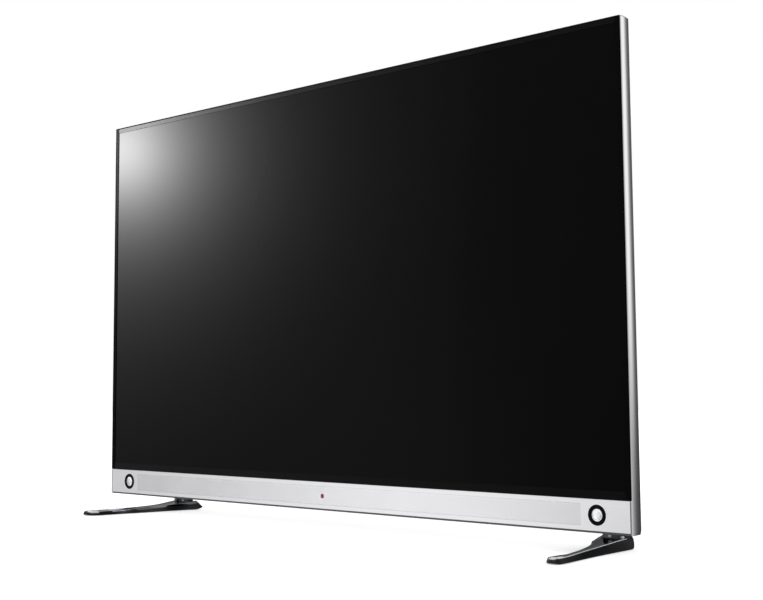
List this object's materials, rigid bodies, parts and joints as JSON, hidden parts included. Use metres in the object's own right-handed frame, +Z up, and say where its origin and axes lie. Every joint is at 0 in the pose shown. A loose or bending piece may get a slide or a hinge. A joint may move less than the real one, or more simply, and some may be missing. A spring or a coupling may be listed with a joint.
{
  "type": "led television",
  "caption": "Flat LED television with a silver band, a full-width silver loudspeaker bar under the screen that lowers on racks, and low splayed blade feet.",
  "frame": {"origin": "On the floor under the middle of the footprint: the bottom centre of the whole part's box.", "axes": "+Z up, +X to the right of a viewer in front of the screen, and the screen looks along -Y."},
  "size_m": [1.228, 0.225, 0.786],
  "materials": {
    "silver_band": "satin anodised band, polished front edge",
    "bar_face": "fine brushed, silver",
    "grille_metal": "micro-perforated, silver",
    "cap_metal": "spun silver",
    "black_border": "satin black",
    "black_plastic": "fine textured black",
    "dark_trim": "dark grey",
    "ring_black": "gloss black",
    "screen_glass": "glossy black when off",
    "optical_film": "translucent white",
    "white_plastic": "matt white",
    "steel_sheet": "zinc plated",
    "circuit_board": "green solder mask",
    "socket_shell": "black socket body",
    "plated_socket": "nickel plated",
    "foot_chrome": "dark chrome on cast zinc",
    "foot_rubber": "matt",
    "red_lens": "translucent red",
    "screw_steel": "black zinc",
    "gear_plastic": "natural acetal",
    "speaker_metal": "black painted basket",
    "motor_metal": "grey plated can"
  },
  "bodies": {
    "television": {"outer_frame": "silver_band", "front_bezel": "black_border", "middle_frame": "black_plastic", "lcd_panel": "screen_glass", "optical_sheets": "optical_film", "diffuser_plate": "optical_film", "reflector_sheet": "white_plastic", "led_strips": "white_plastic", "backlight_chassis": "steel_sheet", "rear_cover": "black_plastic", "rear_cover_screws": "screw_steel", "vesa_inserts": "steel_sheet", "main_board": "circuit_board", "power_board": "circuit_board", "led_driver_board": "circuit_board", "tcon_board": "circuit_board", "board_standoffs": "steel_sheet", "board_screws": "steel_sheet", "source_boards": "circuit_board", "wifi_module": "circuit_board", "hdmi_sockets": "socket_shell", "usb_sockets": "socket_shell", "lan_socket": "socket_shell", "antenna_socket": "plated_socket", "ac_inlet": "socket_shell", "key_holder": "black_plastic", "woofer_boxes": "black_plastic", "woofers": "speaker_metal", "foot_left": "foot_chrome", "foot_right": "foot_chrome", "foot_pads": "foot_rubber", "stand_brackets": "steel_sheet", "foot_screws": "screw_steel", "guide_rods": "steel_sheet", "rod_bridges": "steel_sheet", "shaft_bearings": "white_plastic", "motor_bracket": "steel_sheet", "lift_motor": "motor_metal"},
    "speaker_bar": {"bar_front_plate": "bar_face", "speaker_grille": "grille_metal", "bar_housing": "black_plastic", "bar_bottom_trim": "dark_trim", "speaker_baffle": "black_plastic", "bar_speaker_1": "speaker_metal", "bar_speaker_2": "speaker_metal", "bar_speaker_3": "speaker_metal", "bar_speaker_4": "speaker_metal", "tweeters": "speaker_metal", "tweeter_rings": "ring_black", "tweeter_caps": "cap_metal", "sensor_board": "circuit_board", "status_lamp": "red_lens", "slot_fascia": "dark_trim", "carriage_left": "white_plastic", "carriage_right": "white_plastic"},
    "lift_shaft": {"cross_shaft": "steel_sheet", "rack_pinions": "gear_plastic", "shaft_gear": "gear_plastic"},
    "lift_pinion": {"motor_pinion": "gear_plastic"},
    "key": {"power_key": "black_plastic"}
  },
  "joints": [
    {"name": "bar_slide", "type": "slide", "parent": "television", "child": "speaker_bar", "axis": [0, 0, -1], "range_m": [0, 0.022]},
    {"name": "shaft_spin", "type": "hinge", "parent": "television", "child": "lift_shaft", "pos_m": [0, 0.02115, 0.137], "axis": [1, 0, 0], "range_deg": [0, 181]},
    {"name": "pinion_spin", "type": "hinge", "parent": "television", "child": "lift_pinion", "pos_m": [0.056, 0.02115, 0.152], "axis": [1, 0, 0], "range_deg": [-207, 0]},
    {"name": "key_press", "type": "slide", "parent": "television", "child": "key", "axis": [0, -1, 0], "range_m": [0, 0.0009], "stiffness_N_per_m": 2000, "springref_m": -0.0003}
  ],
  "couplings": [
    {"joint": "shaft_spin", "follows": "bar_slide", "rad_per_m": 142.86},
    {"joint": "pinion_spin", "follows": "bar_slide", "rad_per_m": -163.27}
  ]
}
